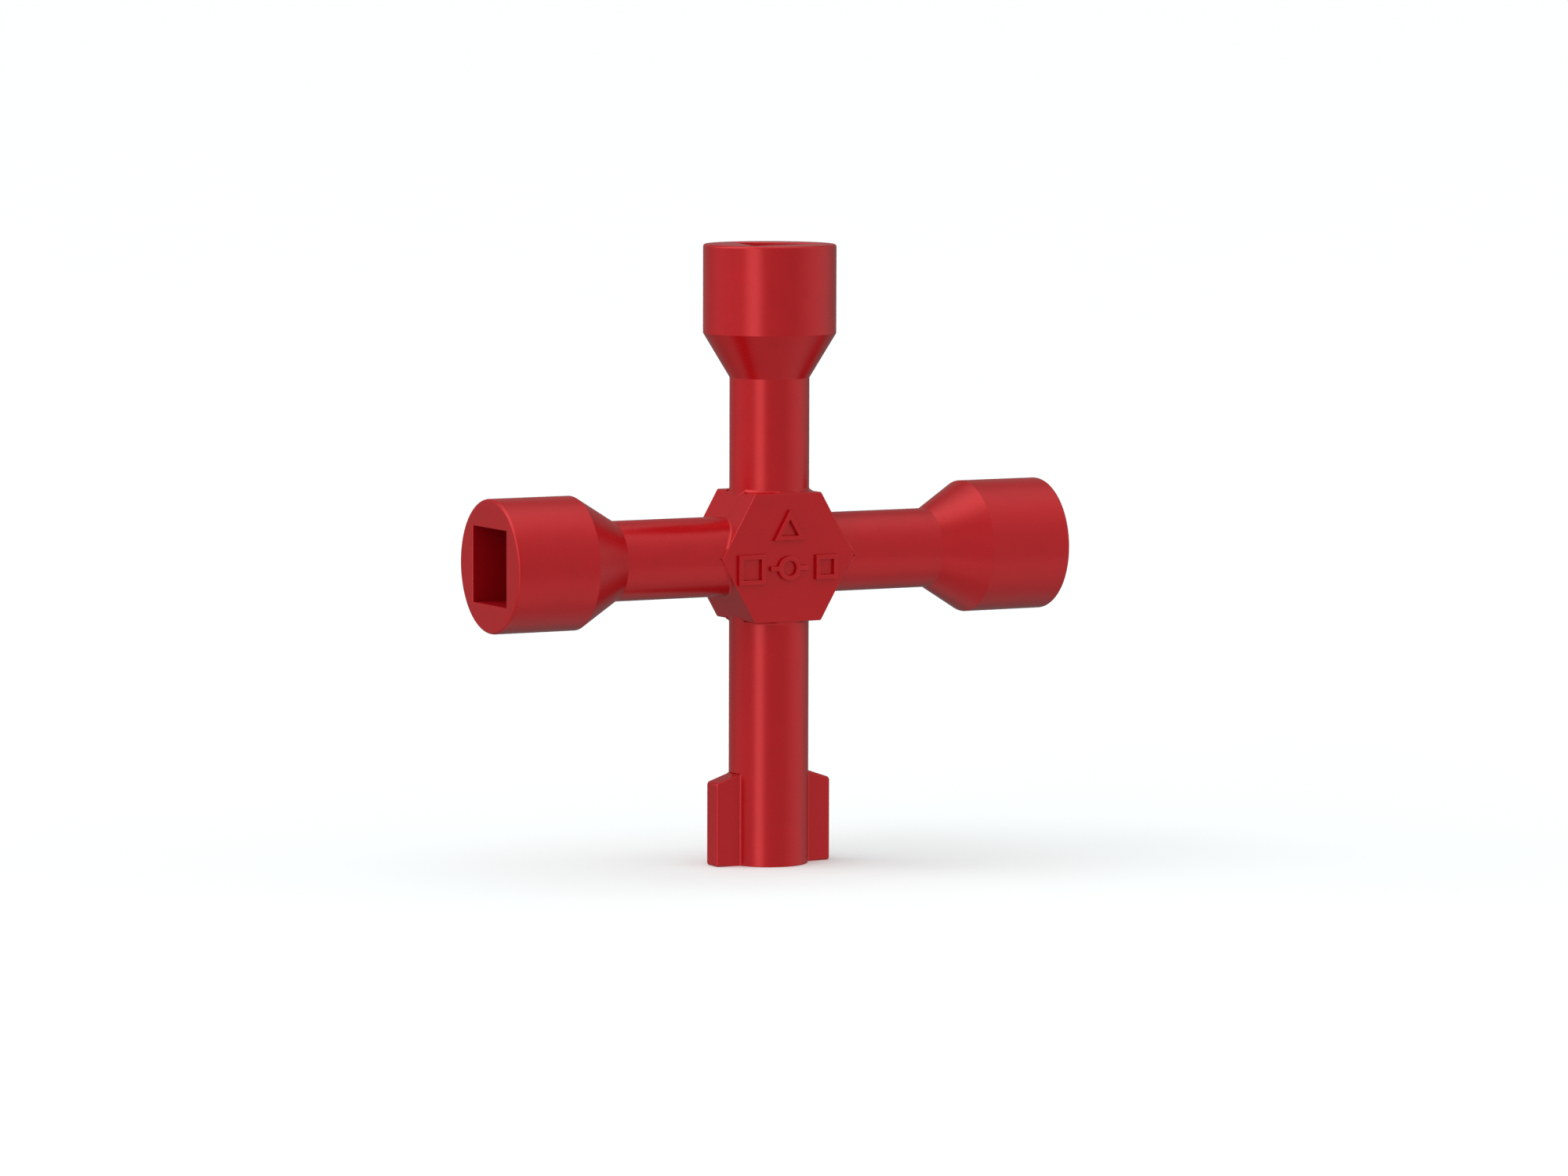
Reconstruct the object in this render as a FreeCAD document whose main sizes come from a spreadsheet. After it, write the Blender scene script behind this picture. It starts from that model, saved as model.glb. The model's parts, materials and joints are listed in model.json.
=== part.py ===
import FreeCAD, Part
import os

import Sketcher

# Four-way cabinet cross key, in millimetres.
# +Z is up along the key shank, +X runs along the right arm, and the hub's marked face looks to -Y.
# The origin is the centre of the key's foot. Each arm, and what sits on it, is drawn in a frame of
# its own, with the hub centre at zero and the arm pointing along +Z, and is then turned into place.

doc = FreeCAD.newDocument("cross_key")

SIZES = [
    ("side_reach", 35.0, "hub centre to the mouth of a side head"),
    ("top_reach", 35.0, "hub centre to the mouth of the top head"),
    ("key_reach", 35.0, "hub centre to the foot of the key"),
    ("shank_diameter", 9.0, "round shanks of all four arms"),
    ("hub_across_flats", 14.5, "hexagonal hub, flat to flat"),
    ("hub_face_margin", 0.15, "how far a hub face stands proud of a shank"),
    ("hub_edge_break", 0.12, "chamfer on the hub's edges"),
    ("tenon_width", 5.0, "square tenons on the ends of the arms"),
    ("tenon_end_gap", 0.25, "from a tenon's end to the hole that crosses it"),
    ("braze_gap", 0.03, "filler gap beside a tenon or a bit root"),
    ("head_diameter", 15.0, "socket heads"),
    ("head_length", 10.0, "cylindrical part of a head"),
    ("taper_length", 5.0, "conical part of a head"),
    ("rim_round", 0.3, "rounding at a head's mouth"),
    ("socket_depth", 10.0, "depth of every socket"),
    ("square_mouth", 8.5, "left socket, for 8 mm square spindles"),
    ("small_square_mouth", 7.4, "right socket, for 7 mm square spindles"),
    ("triangle_height", 9.0, "top socket, corner to opposite side"),
    ("triangle_turn", 15.0, "turn of the three-sided mouth, degrees"),
    ("bit_span", 14.5, "double bit, tip to tip"),
    ("bit_thickness", 2.6, "thickness of a bit"),
    ("bit_height", 9.45, "height of a bit at its tip"),
    ("bit_rise", 1.0, "extra height where a bit meets the shank"),
    ("bit_root", 1.5, "depth of a bit's root in the shank"),
    ("bit_round", 0.3, "rounding at a bit's tip"),
    ("post_bore", 3.4, "bore for the 3 mm post of a double-bit lock"),
    ("post_bore_depth", 11.0, "depth of that bore"),
    ("mark_relief", 0.45, "height of the raised marks"),
    ("mark_stroke", 0.55, "line width of the raised marks"),
    ("mark_pitch", 4.75, "centre to centre across the row of marks"),
    ("mark_row_drop", 1.2, "row of marks below the hub centre"),
    ("mark_square", 3.4, "mark of the square socket"),
    ("mark_small_square", 2.8, "mark of the small square socket"),
    ("mark_ring", 2.8, "ring in the mark of the double bit"),
    ("mark_bit_span", 4.8, "width of the mark of the double bit"),
    ("mark_triangle", 2.3, "mark of the triangle socket, centre to corner"),
    ("mark_triangle_rise", 3.1, "centre of that mark above the hub centre"),
]

sheet = doc.addObject("Spreadsheet::Sheet", "Sizes")
for row, (alias, number, meaning) in enumerate(SIZES, start=1):
    sheet.set(f"A{row}", alias)
    sheet.set(f"B{row}", str(number))
    sheet.set(f"C{row}", meaning)
    sheet.setAlias(f"B{row}", alias)
doc.recompute()

SHANK_RADIUS = "Sizes.shank_diameter / 2"
HUB_CORNER = "Sizes.hub_across_flats / sqrt(3)"
HUB_DEPTH = "Sizes.shank_diameter + 2 * Sizes.hub_face_margin"
TENON_HOLE = "Sizes.tenon_width + 2 * Sizes.braze_gap"
HEAD_TOTAL = "(Sizes.head_length + Sizes.taper_length)"
TENON_IN_HEAD = f"{HEAD_TOTAL} - Sizes.socket_depth"
TENON_START = f"({TENON_HOLE}) / 2 + Sizes.tenon_end_gap"
SLOT_FLOOR = f"{SHANK_RADIUS} - Sizes.bit_root"
BIT_ROOT_HEIGHT = "Sizes.bit_height + Sizes.bit_rise"
BIT_SEAT = f"sqrt(({SHANK_RADIUS}) ^ 2 - (Sizes.bit_thickness / 2) ^ 2)"

ABOUT_Y = FreeCAD.Vector(0, 1, 0)
ABOUT_Z = FreeCAD.Vector(0, 0, 1)
UPWARD = FreeCAD.Rotation(ABOUT_Y, 0)
RIGHTWARD = FreeCAD.Rotation(ABOUT_Y, 90)
LEFTWARD = FreeCAD.Rotation(ABOUT_Y, -90)
DOWNWARD = FreeCAD.Rotation(ABOUT_Y, 180)
FACING_RIGHT = FreeCAD.Rotation(ABOUT_Z, 0)
FACING_LEFT = FreeCAD.Rotation(ABOUT_Z, 180)
NEAR = 1e-4
parts = []


def measure(expression):
    """The present value of an expression on the sheet."""
    return float(sheet.evalExpression(expression))


def start_body(label, turn, lift="Sizes.key_reach"):
    """A new piece, turned and then lifted to its height above the foot."""
    body = doc.addObject("PartDesign::Body", label)
    body.Label = label
    body.Placement = FreeCAD.Placement(FreeCAD.Vector(0, 0, 0), turn)
    body.setExpression("Placement.Base.z", lift)
    parts.append(body)
    return body


def start_sketch(body, name, role, lift="0"):
    """A sketch on one of the piece's own origin planes, or lifted off it along its normal."""
    sketch = body.newObject("Sketcher::SketchObject", name)
    plane = next(item for item in body.Origin.OriginFeatures if item.Role == role)
    sketch.AttachmentSupport = [(plane, "")]
    sketch.MapMode = "FlatFace"
    sketch.setExpression("AttachmentOffset.Base.z", lift)
    return sketch


def place_point(sketch, line, point, across, up):
    """Ties a point to the sketch's origin by two expressions."""
    for kind, expression in (("DistanceX", across), ("DistanceY", up)):
        value = measure(expression)
        index = sketch.addConstraint(Sketcher.Constraint(kind, -1, 1, line, point, value))
        sketch.setExpression(f"Constraints[{index}]", expression)


def add_outline(sketch, corners):
    """A closed outline of straight lines. Each corner is a pair of expressions."""
    first = sketch.GeometryCount
    places = [FreeCAD.Vector(measure(across), measure(up), 0) for across, up in corners]
    following = places[1:] + places[:1]
    for start, end in zip(places, following):
        sketch.addGeometry(Part.LineSegment(start, end), False)
    for index in range(len(places)):
        line = first + index
        next_line = first + (index + 1) % len(places)
        sketch.addConstraint(Sketcher.Constraint("Coincident", line, 2, next_line, 1))
    for index, (across, up) in enumerate(corners):
        place_point(sketch, first + index, 1, across, up)


def add_circle(sketch, radius, across="0", up="0"):
    """A circle whose radius and centre are expressions."""
    centre = FreeCAD.Vector(measure(across), measure(up), 0)
    circle = Part.Circle(centre, FreeCAD.Vector(0, 0, 1), measure(radius))
    line = sketch.addGeometry(circle, False)
    index = sketch.addConstraint(Sketcher.Constraint("Radius", line, measure(radius)))
    sketch.setExpression(f"Constraints[{index}]", radius)
    place_point(sketch, line, 3, across, up)


def rectangle(low_across, low_up, high_across, high_up):
    """The corners of an upright rectangle."""
    return [
        (low_across, low_up),
        (high_across, low_up),
        (high_across, high_up),
        (low_across, high_up),
    ]


def square(side, across="0", up="0"):
    """The corners of a square about a centre."""
    half = f"({side}) / 2"
    return rectangle(
        f"{across} - {half}", f"{up} - {half}", f"{across} + {half}", f"{up} + {half}"
    )


def triangle(corner_radius, first_angle, up="0"):
    """The corners of an equal-sided triangle, from its centre to corner and its first angle."""
    angles = [f"({first_angle} + {turn}) * 1 deg" for turn in (0, 120, 240)]
    return [
        (f"({corner_radius}) * cos({angle})", f"{up} + ({corner_radius}) * sin({angle})")
        for angle in angles
    ]


def hexagon(corner_up):
    """The hub's outline, with a corner or a flat upwards."""
    half_flat = "Sizes.hub_across_flats / 2"
    quarter = [(HUB_CORNER, "0"), (f"{HUB_CORNER} / 2", half_flat)]
    right_top_left = quarter + [(f"-{HUB_CORNER} / 2", half_flat)]
    mirrored = [(f"-({across})", f"-({up})") for across, up in right_top_left]
    corners = right_top_left + mirrored
    if corner_up:
        corners = [(up, across) for across, up in corners]
    return corners


def pad(body, name, sketch, length, symmetric=False):
    """Adds a sketch's outline as a solid."""
    feature = body.newObject("PartDesign::Pad", name)
    feature.Profile = sketch
    feature.setExpression("Length", length)
    feature.SideType = "Symmetric" if symmetric else "One side"
    doc.recompute()
    return feature


def pocket(body, name, sketch, depth="", symmetric=False, backwards=False):
    """Cuts a sketch's outline away, to a depth or right through. It has to remove something."""
    before = body.Tip.Shape.Volume
    feature = body.newObject("PartDesign::Pocket", name)
    feature.Profile = sketch
    feature.SideType = "Symmetric" if symmetric else "One side"
    feature.Reversed = backwards
    if depth:
        feature.Type = "Length"
        feature.setExpression("Length", depth)
    else:
        feature.Type = "ThroughAll"
    doc.recompute()
    if feature.Shape.Volume > before - NEAR:
        raise RuntimeError(f"{name} cuts nothing")
    return feature


def revolve(body, name, sketch):
    """Turns a half profile about the sketch's upright axis."""
    feature = body.newObject("PartDesign::Revolution", name)
    feature.Profile = sketch
    feature.ReferenceAxis = (sketch, ["V_Axis"])
    feature.Angle = 360
    doc.recompute()
    return feature


def dress(body, kind, name, base, size, is_wanted):
    """A fillet or chamfer on those edges of a feature that a test picks out."""
    names = [f"Edge{n}" for n, edge in enumerate(base.Shape.Edges, start=1) if is_wanted(edge)]
    if not names:
        raise RuntimeError(f"{name} finds no edge")
    feature = body.newObject(kind, name)
    feature.Base = (base, names)
    feature.setExpression("Radius" if kind.endswith("Fillet") else "Size", size)
    doc.recompute()
    return feature


def build_hub():
    """Hexagonal block, broached both ways for the tenons, with the raised profile marks."""
    body = start_body("hub", UPWARD)
    outline = start_sketch(body, "hub_outline", "XZ_Plane")
    add_outline(outline, hexagon(corner_up=False))
    block = pad(body, "hub_block", outline, HUB_DEPTH, symmetric=True)
    dress(
        body,
        "PartDesign::Chamfer",
        "hub_broken_edges",
        block,
        "Sizes.hub_edge_break",
        lambda edge: True,
    )
    for name, role in (("upright_broach", "XY_Plane"), ("level_broach", "YZ_Plane")):
        hole = start_sketch(body, f"{name}_outline", role)
        add_outline(hole, square(TENON_HOLE))
        pocket(body, name, hole, symmetric=True)
    add_marks(body)


def add_marks(body):
    """Outlines of the four working ends, raised on the hub's front face."""
    face = f"({HUB_DEPTH}) / 2"
    row = "-Sizes.mark_row_drop"
    stroke = "Sizes.mark_stroke"
    outlines = start_sketch(body, "profile_mark_outlines", "XZ_Plane", face)
    squares = (
        ("-Sizes.mark_pitch", "Sizes.mark_square"),
        ("Sizes.mark_pitch", "Sizes.mark_small_square"),
    )
    for across, side in squares:
        add_outline(outlines, square(side, across, row))
        add_outline(outlines, square(f"{side} - 2 * {stroke}", across, row))
    for corner_radius in ("Sizes.mark_triangle", f"Sizes.mark_triangle - 2 * {stroke}"):
        add_outline(outlines, triangle(corner_radius, 90, "Sizes.mark_triangle_rise"))
    for radius in ("Sizes.mark_ring / 2", f"Sizes.mark_ring / 2 - {stroke}"):
        add_circle(outlines, radius, "0", row)
    pad(body, "profile_marks", outlines, "Sizes.mark_relief")

    bars = start_sketch(body, "bit_mark_bars", "XZ_Plane", face)
    inner = f"Sizes.mark_ring / 2 - {stroke} / 2"
    outer = "Sizes.mark_bit_span / 2"
    low = f"{row} - {stroke} / 2"
    high = f"{row} + {stroke} / 2"
    add_outline(bars, rectangle(inner, low, outer, high))
    add_outline(bars, rectangle(f"-{outer}", low, f"-({inner})", high))
    pad(body, "bit_mark", bars, "Sizes.mark_relief")


def start_arm(label, turn, shank_end, corner_up):
    """A round shank coped to the hub, with the square tenon that enters the hub.

    The bar starts as a 45 degree point at the hub centre, so that arms too thick for the hub
    would meet along a mitre and not run into each other. The cope takes the whole point away.
    """
    body = start_body(label, turn)
    bar = start_sketch(body, f"{label}_bar_outline", "XZ_Plane")
    mitred = [("0", "0"), (SHANK_RADIUS, SHANK_RADIUS), (SHANK_RADIUS, shank_end), ("0", shank_end)]
    add_outline(bar, mitred)
    revolve(body, f"{label}_bar", bar)
    cope = start_sketch(body, f"{label}_cope_outline", "XZ_Plane")
    add_outline(cope, hexagon(corner_up))
    pocket(body, f"{label}_cope", cope, symmetric=True)
    tenon = start_sketch(body, f"{label}_hub_tenon_outline", "XY_Plane", TENON_START)
    add_outline(tenon, square("Sizes.tenon_width"))
    pad(body, f"{label}_hub_tenon", tenon, f"{HUB_CORNER} - ({TENON_START})")
    return body


def build_arm(label, turn, reach, corner_up):
    """An arm that carries a socket head on a second tenon."""
    head_seat = f"{reach} - {HEAD_TOTAL}"
    body = start_arm(label, turn, head_seat, corner_up)
    tenon = start_sketch(body, f"{label}_head_tenon_outline", "XY_Plane", head_seat)
    add_outline(tenon, square("Sizes.tenon_width"))
    pad(body, f"{label}_head_tenon", tenon, TENON_IN_HEAD)


def build_head(label, turn, reach, mouth):
    """A socket head: cone and cylinder, mouth broached from the front, tenon hole from behind."""
    body = start_body(label, turn)
    radius = "Sizes.head_diameter / 2"
    seat = f"{reach} - {HEAD_TOTAL}"
    profile = [
        ("0", seat),
        (SHANK_RADIUS, seat),
        (radius, f"{reach} - Sizes.head_length"),
        (radius, reach),
        ("0", reach),
    ]
    outline = start_sketch(body, f"{label}_profile", "XZ_Plane")
    add_outline(outline, profile)
    blank = revolve(body, f"{label}_blank", outline)
    mouth_height = measure(reach)
    dress(
        body,
        "PartDesign::Fillet",
        f"{label}_rim",
        blank,
        "Sizes.rim_round",
        lambda edge: edge.BoundBox.ZMin > mouth_height - NEAR,
    )
    socket = start_sketch(body, f"{label}_mouth_outline", "XY_Plane", reach)
    add_outline(socket, mouth)
    pocket(body, f"{label}_mouth", socket, "Sizes.socket_depth")
    hole = start_sketch(body, f"{label}_tenon_hole_outline", "XY_Plane", seat)
    add_outline(hole, square(TENON_HOLE))
    pocket(body, f"{label}_tenon_hole", hole, TENON_IN_HEAD, backwards=True)


def build_key_shank():
    """The plain shank below the hub, bored for a lock's post and slotted for the two bits."""
    body = start_arm("key_shank", DOWNWARD, "Sizes.key_reach", corner_up=False)
    slots = start_sketch(body, "bit_slot_outlines", "XZ_Plane")
    low = f"Sizes.key_reach - ({BIT_ROOT_HEIGHT})"
    high = "Sizes.key_reach"
    outer = "Sizes.shank_diameter"
    add_outline(slots, rectangle(SLOT_FLOOR, low, outer, high))
    add_outline(slots, rectangle(f"-{outer}", low, f"-({SLOT_FLOOR})", high))
    slot_width = "Sizes.bit_thickness + 2 * Sizes.braze_gap"
    pocket(body, "bit_slots", slots, slot_width, symmetric=True)
    bore = start_sketch(body, "post_bore_outline", "XY_Plane", "Sizes.key_reach")
    add_circle(bore, "Sizes.post_bore / 2")
    pocket(body, "post_bore_hole", bore, "Sizes.post_bore_depth")


def build_bit(label, turn):
    """A wing of the double bit. Its root fills a slot and its top slopes down to the tip."""
    body = start_body(label, turn, lift="0")
    tip = "Sizes.bit_span / 2"
    outline = start_sketch(body, f"{label}_outline", "XZ_Plane")
    corners = [
        (SLOT_FLOOR, "0"),
        (tip, "0"),
        (tip, "Sizes.bit_height"),
        (BIT_SEAT, BIT_ROOT_HEIGHT),
        (SLOT_FLOOR, BIT_ROOT_HEIGHT),
    ]
    add_outline(outline, corners)
    plate = pad(body, f"{label}_plate", outline, "Sizes.bit_thickness", symmetric=True)
    tip_across = measure(tip)
    dress(
        body,
        "PartDesign::Fillet",
        f"{label}_tip",
        plate,
        "Sizes.bit_round",
        lambda edge: edge.BoundBox.XMin > tip_across - NEAR,
    )


build_hub()
build_arm("left_arm", LEFTWARD, "Sizes.side_reach", corner_up=True)
build_arm("right_arm", RIGHTWARD, "Sizes.side_reach", corner_up=True)
build_arm("top_arm", UPWARD, "Sizes.top_reach", corner_up=False)
build_head("square_socket_head", LEFTWARD, "Sizes.side_reach", square("Sizes.square_mouth"))
build_head(
    "small_square_socket_head",
    RIGHTWARD,
    "Sizes.side_reach",
    square("Sizes.small_square_mouth"),
)
build_head(
    "triangle_socket_head",
    UPWARD,
    "Sizes.top_reach",
    triangle("Sizes.triangle_height * 2 / 3", "90 + Sizes.triangle_turn"),
)
build_key_shank()
build_bit("right_key_bit", FACING_RIGHT)
build_bit("left_key_bit", FACING_LEFT)
doc.recompute()

for item in doc.Objects:
    if "Invalid" in item.State or "Error" in item.State:
        raise RuntimeError(f"{item.Label} failed: {item.State}")
for body in parts:
    shape = body.Shape
    if shape.isNull() or not shape.isValid() or len(shape.Solids) != 1:
        raise RuntimeError(f"{body.Label} has no sound single solid")

os.makedirs("parts", exist_ok=True)
for body in parts:
    body.Shape.exportStep(f"parts/{body.Label}.step")
    print(f"{body.Label}: {body.Shape.Volume:.1f} mm3")
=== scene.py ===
import json
import math

import bmesh
import bpy
from mathutils import Matrix, Vector


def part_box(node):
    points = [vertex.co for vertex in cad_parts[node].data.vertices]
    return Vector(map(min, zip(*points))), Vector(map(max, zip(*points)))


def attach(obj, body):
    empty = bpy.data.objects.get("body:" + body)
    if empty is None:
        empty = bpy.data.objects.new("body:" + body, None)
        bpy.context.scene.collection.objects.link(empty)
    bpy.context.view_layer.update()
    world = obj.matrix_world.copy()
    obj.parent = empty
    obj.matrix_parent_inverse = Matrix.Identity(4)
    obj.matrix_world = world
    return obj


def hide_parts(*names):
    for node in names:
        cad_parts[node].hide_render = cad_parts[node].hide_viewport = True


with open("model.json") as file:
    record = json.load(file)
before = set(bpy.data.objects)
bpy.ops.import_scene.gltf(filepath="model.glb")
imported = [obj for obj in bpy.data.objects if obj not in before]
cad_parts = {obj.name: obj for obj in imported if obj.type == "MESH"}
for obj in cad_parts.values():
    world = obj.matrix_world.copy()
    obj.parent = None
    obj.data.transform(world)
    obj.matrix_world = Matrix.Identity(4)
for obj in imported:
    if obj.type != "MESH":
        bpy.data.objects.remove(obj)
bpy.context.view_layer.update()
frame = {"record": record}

mm = 0.001
columns = 144  # points round every turned piece, so that 45 and 105 degree corners fall on one
edgeSteps = 4  # facets across a rounded edge
crisp = math.radians(28)  # a crease sharper than this stays sharp


def hexToLinear(code):
    channels = [int(code[i : i + 2], 16) / 255 for i in (0, 2, 4)]
    linear = [c / 12.92 if c <= 0.04045 else ((c + 0.055) / 1.055) ** 2.4 for c in channels]
    return (*linear, 1.0)


# An input is given a number, a colour or another node's socket. It goes by its name, or by its place
# where names repeat: 0 and 1 in a Math node; in a Mix node 0 is the factor, 2 and 3 are the two
# numbers, and 6 and 7 the two colours.
def addNode(tree, kind, settings=None, inputs=None):
    node = tree.nodes.new(kind)
    for name, value in (settings or {}).items():
        setattr(node, name, value)
    for name, value in (inputs or {}).items():
        if isinstance(value, bpy.types.NodeSocket):
            tree.links.new(value, node.inputs[name])
        else:
            node.inputs[name].default_value = value
    return node.outputs


def plain(point):  # the frame's sizes to a hundredth of a millimetre
    return Vector([round(c, 5) for c in point])


hubLow, hubHigh = map(plain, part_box("hub"))
armLow, armHigh = map(plain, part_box("top_arm"))
headLow, headHigh = map(plain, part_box("triangle_socket_head"))
sideHeadHigh = plain(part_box("small_square_socket_head")[1])
bitLow, bitHigh = map(plain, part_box("right_key_bit"))
mounts = {mount["name"]: mount for mount in frame["record"]["mounts"]}

hub = {
    "centre": Vector((0, 0, (hubLow.z + hubHigh.z) / 2)),
    "acrossFlats": hubHigh.z - hubLow.z,
    "halfDepth": hubHigh.y,
    "edgeRound": 0.14 * mm,
    "markSink": 0.06 * mm,
    "markRelief": -hubLow.y - hubHigh.y,
    "markStroke": 0.55 * mm,
    "markRound": 0.12 * mm,
}
shank = {
    "radius": armHigh.y,
    "brazeFillet": 0.38 * mm,  # the seam of filler where a shank meets the hub
    "filletSteps": 6,
    "tenonHalf": 2.5 * mm,
    "tenonBreak": 0.2 * mm,
    "tenonStart": armLow.z - hub["centre"].z,
    "headSeat": headLow.z - hub["centre"].z,
    "tenonEnd": armHigh.z - hub["centre"].z,
}

turns = {  # every arm is drawn pointing up from the hub centre, then turned about Y
    "up": 0,
    "right": 90,
    "left": -90,
    "down": 180,
}


def placed(mesh, direction):
    turn = Matrix.Rotation(math.radians(turns[direction]), 4, "Y")
    mesh.transform(Matrix.Translation(hub["centre"]) @ turn)
    return mesh


def polygonStretch(angle, sides, corner):  # how far past its apothem a polygon reaches
    sector = 2 * math.pi / sides
    return 1 / math.cos((angle - corner) % sector - sector / 2)


def hexagonHeight(across, acrossFlats, cornerUp):  # hub outline's height above its centre
    corner = acrossFlats / math.sqrt(3)
    if cornerUp:
        return corner - abs(across) / math.sqrt(3)
    return min(acrossFlats / 2, math.sqrt(3) * (corner - abs(across)))


def hexagonNormal(across, acrossFlats, cornerUp):  # which way the hub's outline faces there
    side = 1 if across >= 0 else -1
    if cornerUp:
        tilt = math.radians(30)
    elif abs(across) > acrossFlats / math.sqrt(3) / 2:
        tilt = math.radians(60)
    else:
        tilt = 0
    return Vector((side * math.sin(tilt), 0, math.cos(tilt)))


def roundRing(radius, height):
    angles = [2 * math.pi * j / columns for j in range(columns)]
    return [Vector((radius * math.cos(a), radius * math.sin(a), height)) for a in angles]


def squareRing(half, height):
    ring = []
    for j in range(columns):
        angle = 2 * math.pi * j / columns
        radius = half * polygonStretch(angle, 4, math.pi / 4)
        ring.append(Vector((radius * math.cos(angle), radius * math.sin(angle), height)))
    return ring


def seamRings(cornerUp):  # a ball rolled along the corner between shank and hub, outermost ring first
    ball = shank["brazeFillet"]
    flats = hub["acrossFlats"] + 2 * ball
    edge = hub["halfDepth"] - hub["edgeRound"]
    rings = []
    for step in range(shank["filletSteps"] + 1):
        share = step / shank["filletSteps"]
        ring = []
        for j in range(columns):
            angle = 2 * math.pi * j / columns
            outward = Vector((math.cos(angle), math.sin(angle), 0))
            centre = outward * (shank["radius"] + ball)
            centre.z = hexagonHeight(centre.x, flats, cornerUp)
            normal = hexagonNormal(centre.x, flats, cornerUp)
            point = centre - ball * normal.slerp(outward, share)
            point.y = max(-edge, min(edge, point.y))
            ring.append(point)
        rings.append(ring)
    return rings


def meshFrom(shape, name):  # the drawn shape as a mesh, its faces turned outwards
    bmesh.ops.recalc_face_normals(shape, faces=shape.faces)
    mesh = bpy.data.meshes.new(name)
    shape.to_mesh(mesh)
    shape.free()
    return mesh


def facesOut(mesh):  # turns the faces of a mesh outwards and keeps its materials
    shape = bmesh.new()
    shape.from_mesh(mesh)
    bmesh.ops.recalc_face_normals(shape, faces=shape.faces)
    shape.to_mesh(mesh)
    shape.free()
    return mesh


def ringSolid(name, rings):  # quads between the rings, a fan over each end
    shape = bmesh.new()
    loops = [[shape.verts.new(point) for point in ring] for ring in rings]
    for lower, upper in zip(loops, loops[1:]):
        for j in range(columns):
            k = (j + 1) % columns
            shape.faces.new((lower[j], lower[k], upper[k], upper[j]))
    for loop in (loops[0], loops[-1]):
        middle = shape.verts.new(sum((vert.co for vert in loop), Vector()) / columns)
        for j in range(columns):
            shape.faces.new((loop[j], loop[(j + 1) % columns], middle))
    return meshFrom(shape, name)


def hubEnd(cornerUp):  # tenon in the hub, coped shoulder, braze seam
    half, start = shank["tenonHalf"], shank["tenonStart"]
    cope = squareRing(half, 0)
    for point in cope:
        point.z = hexagonHeight(point.x, hub["acrossFlats"], cornerUp)
    rings = [
        squareRing(half - shank["tenonBreak"], start),
        squareRing(half, start + shank["tenonBreak"]),
        cope,
    ]
    return rings + seamRings(cornerUp)


def socketArm(direction, cornerUp):
    half, seat, end = shank["tenonHalf"], shank["headSeat"], shank["tenonEnd"]
    rings = hubEnd(cornerUp)
    rings.append(roundRing(shank["radius"], seat))
    rings.append(squareRing(half, seat))
    rings.append(squareRing(half, end))
    return placed(ringSolid(direction + "Arm", rings), direction)


def evaluated(piece):
    depsgraph = bpy.context.evaluated_depsgraph_get()
    return bpy.data.meshes.new_from_object(piece.evaluated_get(depsgraph))


def addObject(name, mesh):
    piece = bpy.data.objects.new(name, mesh)
    bpy.context.scene.collection.objects.link(piece)
    return piece


def cutOrJoin(mesh, operation, others):  # exact boolean with each of the other meshes in turn
    for other in others:
        body, tool = addObject("body", mesh), addObject("tool", other)
        change = body.modifiers.new("change", "BOOLEAN")
        change.operation, change.solver, change.object = operation, "EXACT", tool
        mesh = evaluated(body)
        bpy.data.objects.remove(body)
        bpy.data.objects.remove(tool)
    return mesh


def boxMesh(low, high):
    shape = bmesh.new()
    bmesh.ops.create_cube(shape, size=1)
    for vert in shape.verts:
        vert.co = Vector([(low[i] + high[i]) / 2 + vert.co[i] * (high[i] - low[i]) for i in range(3)])
    return meshFrom(shape, "box")


def finishPiece(name, mesh, materials, *nodes):  # sharp creases, even shading, then onto the frame
    mesh.shade_smooth()
    mesh.set_sharp_from_angle(angle=crisp)
    if materials:
        mesh.materials.clear()
        for material in materials:
            mesh.materials.append(material)
    draft = addObject(name + "Draft", mesh)
    even = draft.modifiers.new("even", "WEIGHTED_NORMAL")
    even.keep_sharp = True
    piece = addObject(name, evaluated(draft))
    bpy.data.objects.remove(draft)
    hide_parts(*nodes)
    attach(piece, "root")
    return piece


def newMaterial(name):
    material = bpy.data.materials.new(name)
    material.use_nodes = True
    material.node_tree.nodes.clear()
    return material, material.node_tree


# Metallic lacquer, sprayed and stoved over a satin blast: a deep red with a soft red sheen. Its
# pigment is too fine to see, so there is only a slight drift of tone where the coat is thicker, and
# the faint orange peel that sprayed coats dry with.
lacquer = {
    "colour": "BD020E",
    "thickColour": "C70412",
    "metallic": 0.3,
    "roughness": 0.27,
    "sheenSpread": 0.02,
    "peelWidth": 0.7 * mm,
    "peelDepth": 0.0007 * mm,
    "peelDetail": 1.5,
    "driftWidth": 2.5 * mm,
}


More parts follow.
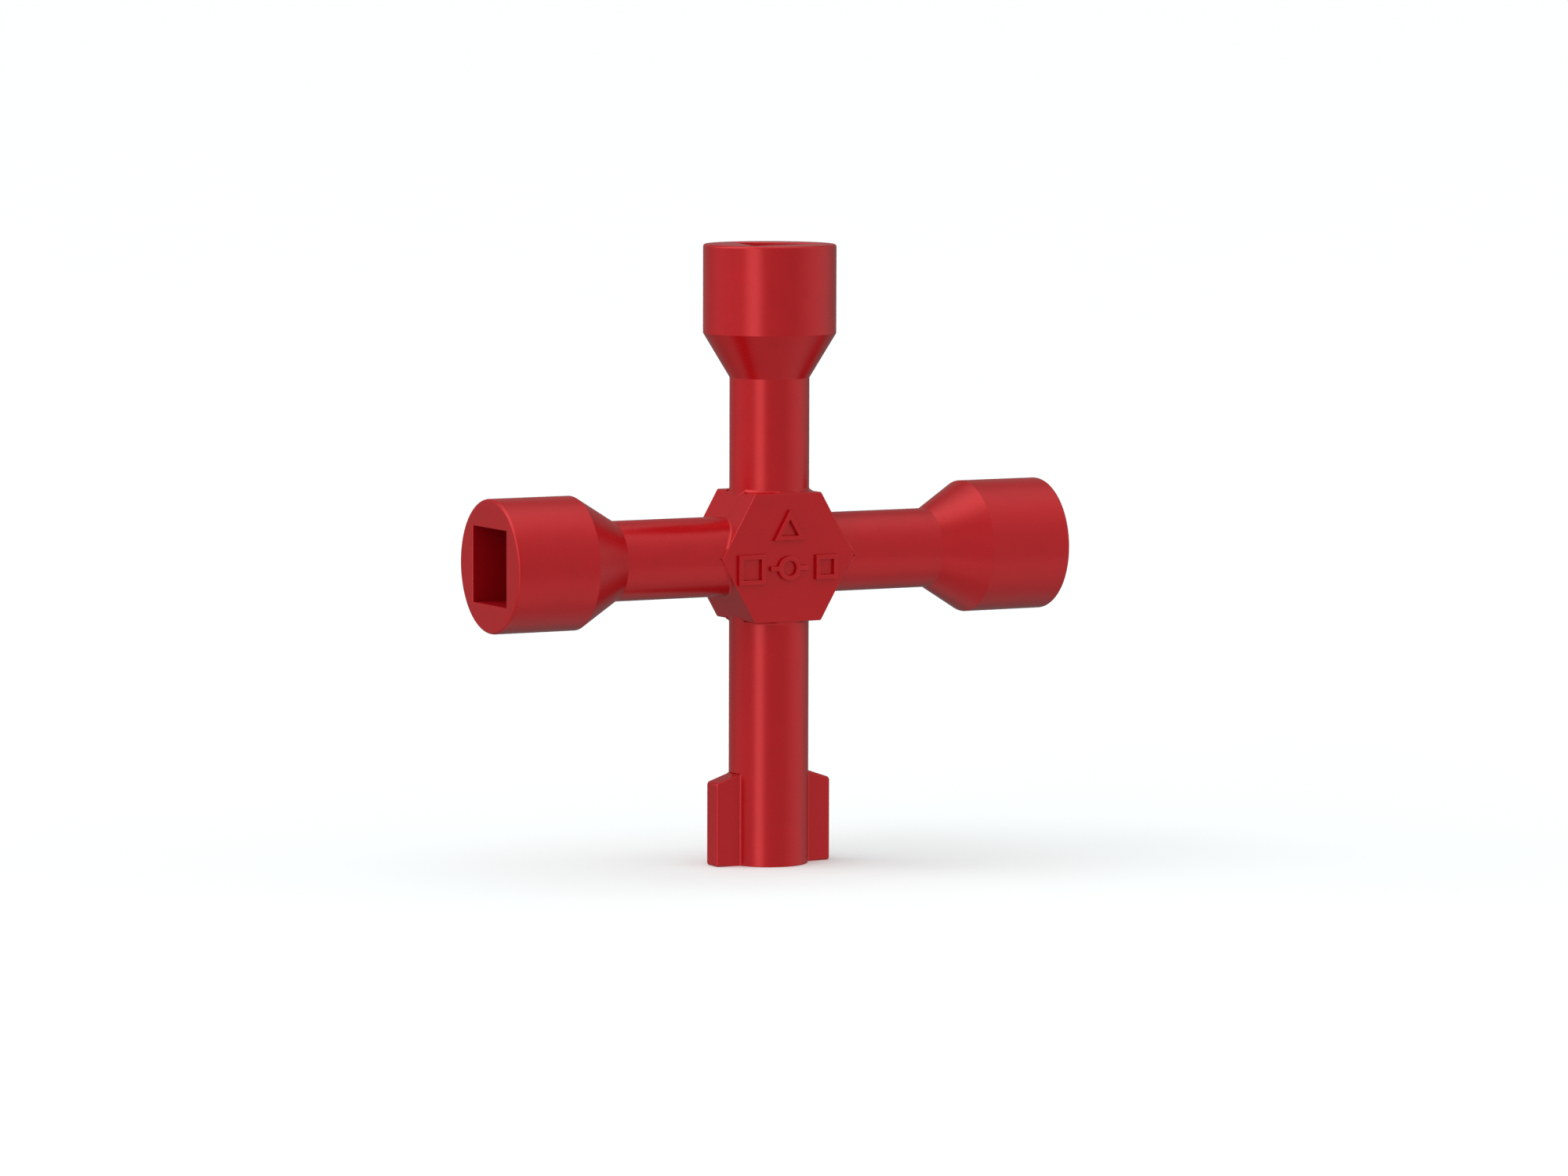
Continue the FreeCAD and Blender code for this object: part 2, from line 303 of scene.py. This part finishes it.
def redLacquer():
    material, tree = newMaterial("stovedMetallicLacquer")
    place = addNode(tree, "ShaderNodeTexCoord")["Object"]
    drift = addNode(
        tree,
        "ShaderNodeTexNoise",
        inputs={"Vector": place, "Scale": 1 / lacquer["driftWidth"], "Detail": 1.0},
    )
    tone = addNode(
        tree,
        "ShaderNodeMix",
        {"data_type": "RGBA"},
        {
            0: drift["Fac"],
            6: hexToLinear(lacquer["colour"]),
            7: hexToLinear(lacquer["thickColour"]),
        },
    )
    peel = addNode(
        tree,
        "ShaderNodeTexNoise",
        inputs={"Vector": place, "Scale": 1 / lacquer["peelWidth"], "Detail": lacquer["peelDetail"]},
    )
    bump = addNode(
        tree,
        "ShaderNodeBump",
        inputs={"Height": peel["Fac"], "Distance": lacquer["peelDepth"], "Strength": 1.0},
    )
    sheen = addNode(
        tree,
        "ShaderNodeMapRange",
        inputs={
            "Value": peel["Fac"],
            "To Min": lacquer["roughness"] - lacquer["sheenSpread"],
            "To Max": lacquer["roughness"] + lacquer["sheenSpread"],
        },
    )
    shader = addNode(
        tree,
        "ShaderNodeBsdfPrincipled",
        inputs={
            "Base Color": tone[2],
            "Roughness": sheen["Result"],
            "Normal": bump["Normal"],
            "Metallic": lacquer["metallic"],
        },
    )
    addNode(tree, "ShaderNodeOutputMaterial", inputs={"Surface": shader["BSDF"]})
    return material


# The same lacquer over broached walls, its red made darker to paint the shade inside the sockets:
# fine tooling marks show through it, and it has less sheen.
shadedBroach = {
    # painted shade: a darker red than the lacquer, for the shade on the socket walls
    "colour": "A00210",
    "markWidth": 0.16 * mm,
    "markDepth": 0.006 * mm,
    "roughness": 0.6,
    "gloss": 0.1,
}


def shadedBroachedWall():
    material, tree = newMaterial("shadedLacqueredWall")
    place = addNode(tree, "ShaderNodeTexCoord")["Object"]
    tooling = addNode(
        tree,
        "ShaderNodeTexNoise",
        inputs={"Vector": place, "Scale": 1 / shadedBroach["markWidth"], "Detail": 2.0},
    )
    bump = addNode(
        tree,
        "ShaderNodeBump",
        inputs={"Height": tooling["Fac"], "Distance": shadedBroach["markDepth"], "Strength": 1.0},
    )
    shader = addNode(
        tree,
        "ShaderNodeBsdfPrincipled",
        inputs={
            "Base Color": hexToLinear(shadedBroach["colour"]),
            "Roughness": shadedBroach["roughness"],
            "Specular IOR Level": shadedBroach["gloss"],
            "Normal": bump["Normal"],
        },
    )
    addNode(tree, "ShaderNodeOutputMaterial", inputs={"Surface": shader["BSDF"]})
    return material


skin = redLacquer()
# the socket walls' lacquer, its red darkened as painted shade
wall = shadedBroachedWall()
print("materials made")

head = {
    "radius": sideHeadHigh.y,
    "length": 10.0 * mm,
    "rimRound": 0.3 * mm,
    "rimSteps": 5,
    "mouthBreak": 0.07 * mm,
    "tenonHole": 2.53 * mm,
    "seat": headLow.z - hub["centre"].z,
    "socketDepth": 10.0 * mm,
}
sweepRadius = 10 * mm  # the circle that a head's outline is swept round


def headOutline(reach, sides, apothem, corner):
    # radius, height, sides (0 is round), angle of a corner, and whether it is inside the socket
    floor = reach - head["socketDepth"]
    rim = head["rimRound"]
    points = [
        (shank["radius"], head["seat"], 0, 0, 0),
        (head["radius"], reach - head["length"], 0, 0, 0),
    ]
    for step in range(head["rimSteps"] + 1):
        angle = math.pi / 2 * step / head["rimSteps"]
        radius = head["radius"] - rim + rim * math.cos(angle)
        points.append((radius, reach - rim + rim * math.sin(angle), 0, 0, 0))
    points.append((apothem + head["mouthBreak"], reach, sides, corner, 0))
    points.append((apothem, reach - head["mouthBreak"], sides, corner, 1))
    points.append((apothem, floor, sides, corner, 1))
    points.append((head["tenonHole"], floor, 4, math.pi / 4, 1))
    points.append((head["tenonHole"], head["seat"], 4, math.pi / 4, 0))
    return points


def turnedTree():  # sweeps an outline round a circle and pulls its flat-sided rings out to their corners
    tree = bpy.data.node_groups.new("turnedSocket", "GeometryNodeTree")
    face = tree.interface
    face.new_socket("Outline", in_out="INPUT", socket_type="NodeSocketGeometry")
    face.new_socket("Columns", in_out="INPUT", socket_type="NodeSocketInt")
    face.new_socket("Sweep radius", in_out="INPUT", socket_type="NodeSocketFloat")
    face.new_socket("Outside", in_out="INPUT", socket_type="NodeSocketMaterial")
    face.new_socket("Inside", in_out="INPUT", socket_type="NodeSocketMaterial")
    face.new_socket("Head", in_out="OUTPUT", socket_type="NodeSocketGeometry")
    given = addNode(tree, "NodeGroupInput")
    outline = addNode(tree, "GeometryNodeMeshToCurve", inputs={"Mesh": given["Outline"]})
    circle = addNode(
        tree,
        "GeometryNodeCurvePrimitiveCircle",
        inputs={"Resolution": given["Columns"], "Radius": given["Sweep radius"]},
    )
    swept = addNode(
        tree,
        "GeometryNodeCurveToMesh",
        inputs={"Curve": circle["Curve"], "Profile Curve": outline["Curve"]},
    )

    # How far each point moves out: 1 on a round ring, the polygon's reach on a flat-sided one.
    sides = addNode(tree, "GeometryNodeInputNamedAttribute", inputs={"Name": "sides"})["Attribute"]
    corner = addNode(tree, "GeometryNodeInputNamedAttribute", inputs={"Name": "corner"})["Attribute"]
    inner = addNode(tree, "GeometryNodeInputNamedAttribute", inputs={"Name": "inner"})["Attribute"]
    place = addNode(tree, "GeometryNodeInputPosition")["Position"]
    split = addNode(tree, "ShaderNodeSeparateXYZ", inputs={"Vector": place})
    angle = addNode(tree, "ShaderNodeMath", {"operation": "ARCTAN2"}, {0: split["Y"], 1: split["X"]})[0]
    count = addNode(tree, "ShaderNodeMath", {"operation": "MAXIMUM"}, {0: sides, 1: 3})[0]
    sector = addNode(tree, "ShaderNodeMath", {"operation": "DIVIDE"}, {0: 2 * math.pi, 1: count})[0]
    past = addNode(tree, "ShaderNodeMath", {"operation": "SUBTRACT"}, {0: angle, 1: corner})[0]
    within = addNode(tree, "ShaderNodeMath", {"operation": "FLOORED_MODULO"}, {0: past, 1: sector})[0]
    half = addNode(tree, "ShaderNodeMath", {"operation": "DIVIDE"}, {0: sector, 1: 2})[0]
    slant = addNode(tree, "ShaderNodeMath", {"operation": "SUBTRACT"}, {0: within, 1: half})[0]
    slope = addNode(tree, "ShaderNodeMath", {"operation": "COSINE"}, {0: slant})[0]
    reach = addNode(tree, "ShaderNodeMath", {"operation": "DIVIDE"}, {0: 1, 1: slope})[0]
    isFlat = addNode(tree, "ShaderNodeMath", {"operation": "GREATER_THAN"}, {0: sides, 1: 2.5})[0]
    stretch = addNode(tree, "ShaderNodeMix", inputs={0: isFlat, 2: 1, 3: reach})
    wide = addNode(tree, "ShaderNodeMath", {"operation": "MULTIPLY"}, {0: split["X"], 1: stretch[0]})[0]
    deep = addNode(tree, "ShaderNodeMath", {"operation": "MULTIPLY"}, {0: split["Y"], 1: stretch[0]})[0]
    moved = addNode(tree, "ShaderNodeCombineXYZ", inputs={"X": wide, "Y": deep, "Z": split["Z"]})
    shaped = addNode(
        tree,
        "GeometryNodeSetPosition",
        inputs={"Geometry": swept["Mesh"], "Position": moved["Vector"]},
    )
    real = addNode(tree, "GeometryNodeRealizeInstances", inputs={"Geometry": shaped["Geometry"]})
    outside = addNode(
        tree,
        "GeometryNodeSetMaterial",
        inputs={"Geometry": real["Geometry"], "Material": given["Outside"]},
    )
    isInner = addNode(tree, "ShaderNodeMath", {"operation": "GREATER_THAN"}, {0: inner, 1: 0.9})[0]
    inside = addNode(
        tree,
        "GeometryNodeSetMaterial",
        inputs={
            "Geometry": outside["Geometry"],
            "Selection": isInner,
            "Material": given["Inside"],
        },
    )
    addNode(tree, "NodeGroupOutput", inputs={"Head": inside["Geometry"]})
    return tree


def setInput(modifier, name, value):
    for item in modifier.node_group.interface.items_tree:
        if item.item_type == "SOCKET" and item.in_out == "INPUT" and item.name == name:
            modifier[item.identifier] = value


def socketHead(direction, reach, sides, apothem, corner, inside, tree):
    points = headOutline(reach, sides, apothem, corner)
    mesh = bpy.data.meshes.new("outline")
    places = [(radius - sweepRadius, -height, 0) for radius, height, *_ in points]
    edges = [(i, (i + 1) % len(points)) for i in range(len(points))]
    mesh.from_pydata(places, edges, [])
    for index, name in ((2, "sides"), (3, "corner"), (4, "inner")):
        layer = mesh.attributes.new(name, "FLOAT", "POINT")
        layer.data.foreach_set("value", [float(point[index]) for point in points])
    draft = addObject("headDraft", mesh)
    turned = draft.modifiers.new("turned", "NODES")
    turned.node_group = tree
    setInput(turned, "Columns", columns)
    setInput(turned, "Sweep radius", sweepRadius)
    setInput(turned, "Outside", skin)
    setInput(turned, "Inside", inside)
    made = facesOut(evaluated(draft))
    bpy.data.objects.remove(draft)
    return placed(made, direction)


# Direction: reach, sides, half the width across flats, angle of one corner, paint on the walls. The
# top mouth's walls are as bright as the outside, so they have the outside lacquer. The left mouth's are
# darker and duller, so they have the darker red that paints their shade, and the right one is taken to be
# like it.
mouths = {
    "left": (-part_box("square_socket_head")[0].x, 4, 4.25 * mm, 45, wall, "square_socket_head"),
    "right": (sideHeadHigh.x, 4, 3.7 * mm, 45, wall, "small_square_socket_head"),
    "up": (headHigh.z - hub["centre"].z, 3, 3.0 * mm, 105, skin, "triangle_socket_head"),
}
socketTree = turnedTree()
for direction, (reach, sides, apothem, turn, inside, node) in mouths.items():
    corner = math.radians(turn)
    mesh = socketHead(direction, round(reach, 5), sides, apothem, corner, inside, socketTree)
    finishPiece(direction + "SocketHead", mesh, None, node)
print("socket heads made")

finishPiece("leftArm", socketArm("left", True), [skin], "left_arm")
finishPiece("rightArm", socketArm("right", True), [skin], "right_arm")
finishPiece("upArm", socketArm("up", False), [skin], "top_arm")
print("arms made")

key = {
    "reach": hub["centre"].z,
    "footRound": 0.15 * mm,
    "footSteps": 3,
    "boreRadius": mounts["post_bore"]["dims"]["r_mm"] * mm,
    "boreDepth": mounts["post_bore"]["dims"]["length_mm"] * mm,
    "boreBreak": 0.1 * mm,
    "slotGap": 0.03 * mm,
    "bitThick": bitHigh.y - bitLow.y,
    "bitTip": bitHigh.x,
    "bitRoot": bitLow.x,
    "bitTop": bitHigh.z,
    "bitRise": 1.0 * mm,
    "bitRound": 0.3 * mm,
    "bitSeam": 0.4 * mm,
    "seamSteps": 6,
    "seamSink": 0.03 * mm,
}


def keyShank():
    foot, edge = key["reach"], key["footRound"]
    rings = hubEnd(False)
    for step in range(key["footSteps"] + 1):
        angle = math.pi / 2 * step / key["footSteps"]
        radius = shank["radius"] - edge + edge * math.cos(angle)
        rings.append(roundRing(radius, foot - edge + edge * math.sin(angle)))
    rings.append(roundRing(key["boreRadius"] + key["boreBreak"], foot))
    rings.append(roundRing(key["boreRadius"], foot - key["boreBreak"]))
    rings.append(roundRing(key["boreRadius"], foot - key["boreDepth"]))
    solid = placed(ringSolid("keyShank", rings), "down")
    half = key["bitThick"] / 2 + key["slotGap"]
    slots = [
        boxMesh((key["bitRoot"], -half, -mm), (key["bitTip"], half, key["bitTop"])),
        boxMesh((-key["bitTip"], -half, -mm), (-key["bitRoot"], half, key["bitTop"])),
    ]
    return cutOrJoin(solid, "DIFFERENCE", slots)


def bitSeam(side):  # a ball rolled down the corner between a bit and the shank
    ball, steps = key["bitSeam"], key["seamSteps"]
    flank, radius = key["bitThick"] / 2, shank["radius"]
    centre = Vector((math.sqrt((radius + ball) ** 2 - (flank + ball) ** 2), flank + ball))
    onShank = -centre.normalized()
    corner = Vector((math.sqrt(radius**2 - flank**2), flank))
    outline = [corner - Vector((1, 1)) * key["seamSink"]]
    for step in range(steps + 1):
        outline.append(centre + ball * Vector((0, -1)).slerp(onShank, step / steps))
    low, high = key["seamSink"], key["bitTop"]
    slope = key["bitRise"] / (key["bitTip"] - corner.x)
    shape = bmesh.new()
    lower = [shape.verts.new((p.x, side * p.y, low)) for p in outline]
    upper = [
        shape.verts.new((p.x, side * p.y, high - slope * max(0, p.x - corner.x) - key["seamSink"]))
        for p in outline
    ]
    shape.faces.new(lower)
    shape.faces.new(list(reversed(upper)))
    for i in range(len(outline)):
        k = (i + 1) % len(outline)
        shape.faces.new((lower[k], lower[i], upper[i], upper[k]))
    return meshFrom(shape, "bitSeam")


def keyBit(side):
    half = key["bitThick"] / 2
    seat = math.sqrt(shank["radius"] ** 2 - half**2)
    outline = [
        (key["bitRoot"], 0),
        (seat, 0),
        (key["bitTip"], 0),
        (key["bitTip"], key["bitTop"] - key["bitRise"]),
        (seat, key["bitTop"]),
        (key["bitRoot"], key["bitTop"]),
    ]
    shape = bmesh.new()
    front = [shape.verts.new((x, -half, z)) for x, z in outline]
    back = [shape.verts.new((x, half, z)) for x, z in outline]
    shape.faces.new(front)
    shape.faces.new(list(reversed(back)))
    for i in range(len(outline)):
        k = (i + 1) % len(outline)
        shape.faces.new((front[k], front[i], back[i], back[k]))
    outer = [v for v in shape.verts if v.co.x > seat + mm]
    rounded = {e for v in outer for e in v.link_edges}  # every edge that reaches the tip
    bmesh.ops.bevel(
        shape,
        geom=list(rounded),
        offset=key["bitRound"],
        segments=edgeSteps,
        profile=0.5,
        affect="EDGES",
        clamp_overlap=True,
    )
    mesh = cutOrJoin(meshFrom(shape, "keyBit"), "UNION", [bitSeam(-1), bitSeam(1)])
    if side < 0:
        mesh.transform(Matrix.Rotation(math.pi, 4, "Z"))
    return mesh


finishPiece("keyShank", keyShank(), [skin], "key_shank")
finishPiece("rightKeyBit", keyBit(1), [skin], "right_key_bit")
finishPiece("leftKeyBit", keyBit(-1), [skin], "left_key_bit")
print("key made")

marks = {  # raised outlines: sides, centre to corner, angle of a corner, across, up
    "square": (4, 3.4 * mm / math.sqrt(2), 45, -4.75 * mm, -1.2 * mm),
    "smallSquare": (4, 2.8 * mm / math.sqrt(2), 45, 4.75 * mm, -1.2 * mm),
    "triangle": (3, 2.3 * mm, 90, 0, 3.1 * mm),
    "ring": (40, 1.4 * mm, 0, 0, -1.2 * mm),
}
bitMark = {"span": 4.8 * mm, "start": 1.1 * mm, "up": -1.2 * mm}


def outlineTree():  # a rounded bar swept round a regular polygon, lying on the hub's face
    tree = bpy.data.node_groups.new("raisedOutline", "GeometryNodeTree")
    face = tree.interface
    face.new_socket("Sides", in_out="INPUT", socket_type="NodeSocketInt")
    for name in ("Corner radius", "Turn", "Across", "Up", "Stroke", "Relief", "Sink", "Round"):
        face.new_socket(name, in_out="INPUT", socket_type="NodeSocketFloat")
    face.new_socket("Paint", in_out="INPUT", socket_type="NodeSocketMaterial")
    face.new_socket("Outline", in_out="OUTPUT", socket_type="NodeSocketGeometry")
    given = addNode(tree, "NodeGroupInput")

    # A mitred bar is wider at its corners, and its middle runs half that width inside them.
    half = addNode(tree, "ShaderNodeMath", {"operation": "DIVIDE"}, {0: math.pi, 1: given["Sides"]})[0]
    slope = addNode(tree, "ShaderNodeMath", {"operation": "COSINE"}, {0: half})[0]
    width = addNode(tree, "ShaderNodeMath", {"operation": "DIVIDE"}, {0: given["Stroke"], 1: slope})[0]
    halfWidth = addNode(tree, "ShaderNodeMath", {"operation": "DIVIDE"}, {0: width, 1: 2})[0]
    radius = addNode(
        tree,
        "ShaderNodeMath",
        {"operation": "SUBTRACT"},
        {0: given["Corner radius"], 1: halfWidth},
    )[0]
    path = addNode(
        tree,
        "GeometryNodeCurvePrimitiveCircle",
        inputs={"Resolution": given["Sides"], "Radius": radius},
    )
    height = addNode(
        tree,
        "ShaderNodeMath",
        {"operation": "ADD"},
        {0: given["Relief"], 1: given["Sink"]},
    )[0]
    bar = addNode(
        tree,
        "GeometryNodeCurvePrimitiveQuadrilateral",
        inputs={"Width": width, "Height": height},
    )
    soft = addNode(
        tree,
        "GeometryNodeFilletCurve",
        {"mode": "POLY"},
        {"Curve": bar["Curve"], "Radius": given["Round"], "Count": edgeSteps},
    )
    proud = addNode(
        tree,
        "ShaderNodeMath",
        {"operation": "SUBTRACT"},
        {0: given["Sink"], 1: given["Relief"]},
    )[0]
    lift = addNode(tree, "ShaderNodeMath", {"operation": "DIVIDE"}, {0: proud, 1: 2})[0]
    rise = addNode(tree, "ShaderNodeCombineXYZ", inputs={"Y": lift})["Vector"]
    lifted = addNode(
        tree,
        "GeometryNodeTransform",
        inputs={"Geometry": soft["Curve"], "Translation": rise},
    )
    swept = addNode(
        tree,
        "GeometryNodeCurveToMesh",
        inputs={"Curve": path["Curve"], "Profile Curve": lifted["Geometry"]},
    )
    spot = addNode(tree, "ShaderNodeCombineXYZ", inputs={"X": given["Across"], "Y": given["Up"]})
    turn = addNode(tree, "ShaderNodeCombineXYZ", inputs={"Z": given["Turn"]})
    put = addNode(
        tree,
        "GeometryNodeTransform",
        inputs={
            "Geometry": swept["Mesh"],
            "Translation": spot["Vector"],
            "Rotation": turn["Vector"],
        },
    )
    real = addNode(tree, "GeometryNodeRealizeInstances", inputs={"Geometry": put["Geometry"]})
    painted = addNode(
        tree,
        "GeometryNodeSetMaterial",
        inputs={"Geometry": real["Geometry"], "Material": given["Paint"]},
    )
    addNode(tree, "NodeGroupOutput", inputs={"Outline": painted["Geometry"]})
    return tree


def ontoFace(mesh):  # from a drawing seen from the front to the hub's front face
    toFront = Matrix.Translation(hub["centre"] - Vector((0, hub["halfDepth"], 0)))
    mesh.transform(toFront @ Matrix.Rotation(math.pi / 2, 4, "X"))
    return mesh


def outlineMark(tree, sides, corner, turn, across, up):
    draft = addObject("markDraft", bpy.data.meshes.new("mark"))
    raised = draft.modifiers.new("raised", "NODES")
    raised.node_group = tree
    setInput(raised, "Sides", sides)
    setInput(raised, "Corner radius", corner)
    setInput(raised, "Turn", math.radians(turn))
    setInput(raised, "Across", across)
    setInput(raised, "Up", up)
    setInput(raised, "Stroke", hub["markStroke"])
    setInput(raised, "Relief", hub["markRelief"])
    setInput(raised, "Sink", hub["markSink"])
    setInput(raised, "Round", hub["markRound"])
    setInput(raised, "Paint", skin)
    mesh = facesOut(evaluated(draft))
    bpy.data.objects.remove(draft)
    return ontoFace(mesh)


def barMark(side):
    ends = sorted((side * bitMark["start"], side * bitMark["span"] / 2))
    half = hub["markStroke"] / 2
    low = (ends[0], bitMark["up"] - half, -hub["markSink"])
    high = (ends[1], bitMark["up"] + half, hub["markRelief"])
    mesh = boxMesh(low, high)
    shape = bmesh.new()
    shape.from_mesh(mesh)
    bmesh.ops.bevel(
        shape, geom=shape.edges[:], offset=hub["markRound"], segments=edgeSteps, profile=0.5, affect="EDGES"
    )
    return ontoFace(meshFrom(shape, "barMark"))


def hubBlock():
    corner = hub["acrossFlats"] / math.sqrt(3)
    shape = bmesh.new()
    ends = []
    for y in (-hub["halfDepth"], hub["halfDepth"]):
        angles = [math.radians(60 * i) for i in range(6)]
        ends.append([shape.verts.new((corner * math.cos(a), y, corner * math.sin(a))) for a in angles])
    shape.faces.new(ends[0])
    shape.faces.new(list(reversed(ends[1])))
    for i in range(6):
        k = (i + 1) % 6
        shape.faces.new((ends[0][k], ends[0][i], ends[1][i], ends[1][k]))
    bmesh.ops.bevel(
        shape, geom=shape.edges[:], offset=hub["edgeRound"], segments=edgeSteps, profile=0.5, affect="EDGES"
    )
    half, far = head["tenonHole"], corner + mm
    holes = [
        boxMesh((-half, -half, -far), (half, half, far)),
        boxMesh((-far, -half, -half), (far, half, half)),
    ]
    block = cutOrJoin(meshFrom(shape, "hub"), "DIFFERENCE", holes)
    block.transform(Matrix.Translation(hub["centre"]))
    return block


markTree = outlineTree()
raisedMarks = [outlineMark(markTree, *shape) for shape in marks.values()]
raisedMarks += [barMark(-1), barMark(1)]
finishPiece("hubBlock", cutOrJoin(hubBlock(), "UNION", raisedMarks), [skin], "hub")
print("hub made")

studio = {
    "azimuth": -28.32,
    "elevation": 5.36,
    "roll": 0.163,
    "distance": 768.7 * mm,
    "right": 1.69 * mm,
    "down": 3.80 * mm,
    "lens": 156.55,
    "filmWidth": 36,
    "floorSize": 80.0,
    "floorColour": "F4FAFA",
    "floorGlow": 0.12,
}


def makeCamera():
    azimuth, elevation = math.radians(studio["azimuth"]), math.radians(studio["elevation"])
    back = Vector(
        (
            math.sin(azimuth) * math.cos(elevation),
            -math.cos(azimuth) * math.cos(elevation),
            math.sin(elevation),
        )
    )
    right = Vector((math.cos(azimuth), math.sin(azimuth), 0))
    up = back.cross(right)
    roll = math.radians(studio["roll"])
    right, up = (
        right * math.cos(roll) + up * math.sin(roll),
        up * math.cos(roll) - right * math.sin(roll),
    )
    lensData = bpy.data.cameras.new("studioCamera")
    lensData.lens = studio["lens"]
    lensData.sensor_width = studio["filmWidth"]
    lensData.sensor_fit = "HORIZONTAL"
    lensData.clip_start, lensData.clip_end = 0.01, 100
    camera = addObject("studioCamera", lensData)
    spot = hub["centre"] + right * studio["right"] - up * studio["down"] + back * studio["distance"]
    turn = Matrix((right, up, back)).transposed().to_4x4()
    camera.matrix_world = Matrix.Translation(spot) @ turn
    bpy.context.scene.camera = camera


def makeFloor():
    half = studio["floorSize"] / 2
    mesh = bpy.data.meshes.new("floor")
    corners = [(-half, -half, 0), (half, -half, 0), (half, half, 0), (-half, half, 0)]
    mesh.from_pydata(corners, [], [(0, 1, 2, 3)])
    floor = addObject("floor", mesh)
    floor.visible_glossy = False  # the room alone lights the paint, not the table
    floor.visible_diffuse = False
    material, tree = newMaterial("whiteTable")
    shader = addNode(
        tree,
        "ShaderNodeBsdfPrincipled",
        inputs={
            "Base Color": hexToLinear(studio["floorColour"]),
            "Roughness": 0.9,
            "Emission Color": (1, 1, 1, 1),
            "Emission Strength": studio["floorGlow"],
        },
    )
    addNode(tree, "ShaderNodeOutputMaterial", inputs={"Surface": shader["BSDF"]})
    mesh.materials.append(material)


# The room as seen from the object: a grey wall on the camera's side, a darker one behind, a bright
# ceiling, a grey ground, and soft boxes in front of them. Turns are round the upright axis from the
# front, to the right, heights are above the horizon, and both are in degrees.
room = {
    "under": 0.55,
    "behind": 0.22,
    "front": 0.56,
    "overhead": 1.45,
    "wall": (-0.7, 0.0),  # where the front wall starts and is full, as the cosine of the turn
    "ceiling": (38, 80),  # the height where it starts, and where it is full
    "ground": (-38, -66),
    "softAcross": 0.6,  # how much of a box's half width its edge fades over, each way
    "softUp": 0.4,
}
softBoxes = {  # turn, height, half width, half height in degrees, and brightness
    "key": (-55.5, 0, 12, 26, 1.3),
    "high": (-103, 38, 34, 30, 1.45),
    "side": (66, 14, 34, 36, 0.36),
    "bounce": (5, -38, 70, 18, 0.28),
    "rear": (-150, 8, 28, 30, 0.04),
}


def makeRoom():
    world = bpy.data.worlds.new("studioRoom")
    world.use_nodes = True
    bpy.context.scene.world = world
    tree = world.node_tree
    tree.nodes.clear()
    smooth = {"interpolation_type": "SMOOTHSTEP"}
    direction = addNode(tree, "ShaderNodeTexCoord")["Generated"]
    split = addNode(tree, "ShaderNodeSeparateXYZ", inputs={"Vector": direction})
    height = addNode(tree, "ShaderNodeMath", {"operation": "ARCSINE"}, {0: split["Z"]})[0]
    ahead = addNode(tree, "ShaderNodeMath", {"operation": "MULTIPLY"}, {0: split["Y"], 1: -1})[0]
    turn = addNode(tree, "ShaderNodeMath", {"operation": "ARCTAN2"}, {0: split["X"], 1: ahead})[0]
    toCamera = math.radians(studio["azimuth"])
    aside = addNode(tree, "ShaderNodeMath", {"operation": "SUBTRACT"}, {0: turn, 1: toCamera})[0]
    facing = addNode(tree, "ShaderNodeMath", {"operation": "COSINE"}, {0: aside})[0]
    level = addNode(
        tree,
        "ShaderNodeMapRange",
        smooth,
        {
            "Value": facing,
            "From Min": room["wall"][0],
            "From Max": room["wall"][1],
            "To Min": room["behind"],
            "To Max": room["front"],
        },
    )[0]
    for edge, bright in (("ceiling", room["overhead"]), ("ground", room["under"])):
        start, full = (math.radians(value) for value in room[edge])
        share = addNode(
            tree,
            "ShaderNodeMapRange",
            smooth,
            {"Value": height, "From Min": start, "From Max": full, "To Min": 0, "To Max": 1},
        )[0]
        blend = {0: share, 2: level, 3: bright}
        level = addNode(tree, "ShaderNodeMix", inputs=blend)[0]
    for *angles, bright in softBoxes.values():
        boxTurn, boxHeight, halfWidth, halfHeight = map(math.radians, angles)
        off = addNode(tree, "ShaderNodeMath", {"operation": "SUBTRACT"}, {0: turn, 1: boxTurn})[0]
        turned = addNode(tree, "ShaderNodeMath", {"operation": "COSINE"}, {0: off})[0]
        away = addNode(tree, "ShaderNodeMath", {"operation": "ARCCOSINE"}, {0: turned})[0]
        across = addNode(
            tree,
            "ShaderNodeMapRange",
            smooth,
            {
                "Value": away,
                "From Min": halfWidth * (1 - room["softAcross"]),
                "From Max": halfWidth * (1 + room["softAcross"]),
                "To Min": bright,
                "To Max": 0,
            },
        )[0]
        lower = addNode(tree, "ShaderNodeMath", {"operation": "SUBTRACT"}, {0: height, 1: boxHeight})[0]
        above = addNode(tree, "ShaderNodeMath", {"operation": "ABSOLUTE"}, {0: lower})[0]
        along = addNode(
            tree,
            "ShaderNodeMapRange",
            smooth,
            {
                "Value": above,
                "From Min": halfHeight * (1 - room["softUp"]),
                "From Max": halfHeight * (1 + room["softUp"]),
                "To Min": 1,
                "To Max": 0,
            },
        )[0]
        lit = {0: across, 1: along, 2: level}
        level = addNode(tree, "ShaderNodeMath", {"operation": "MULTIPLY_ADD"}, lit)[0]
    sky = addNode(tree, "ShaderNodeBackground", inputs={"Strength": level, "Color": (1, 1, 1, 1)})
    addNode(tree, "ShaderNodeOutputWorld", inputs={"Surface": sky["Background"]})
    bpy.context.scene.view_settings.view_transform = "Standard"


makeCamera()
makeFloor()
makeRoom()
print("studio made")
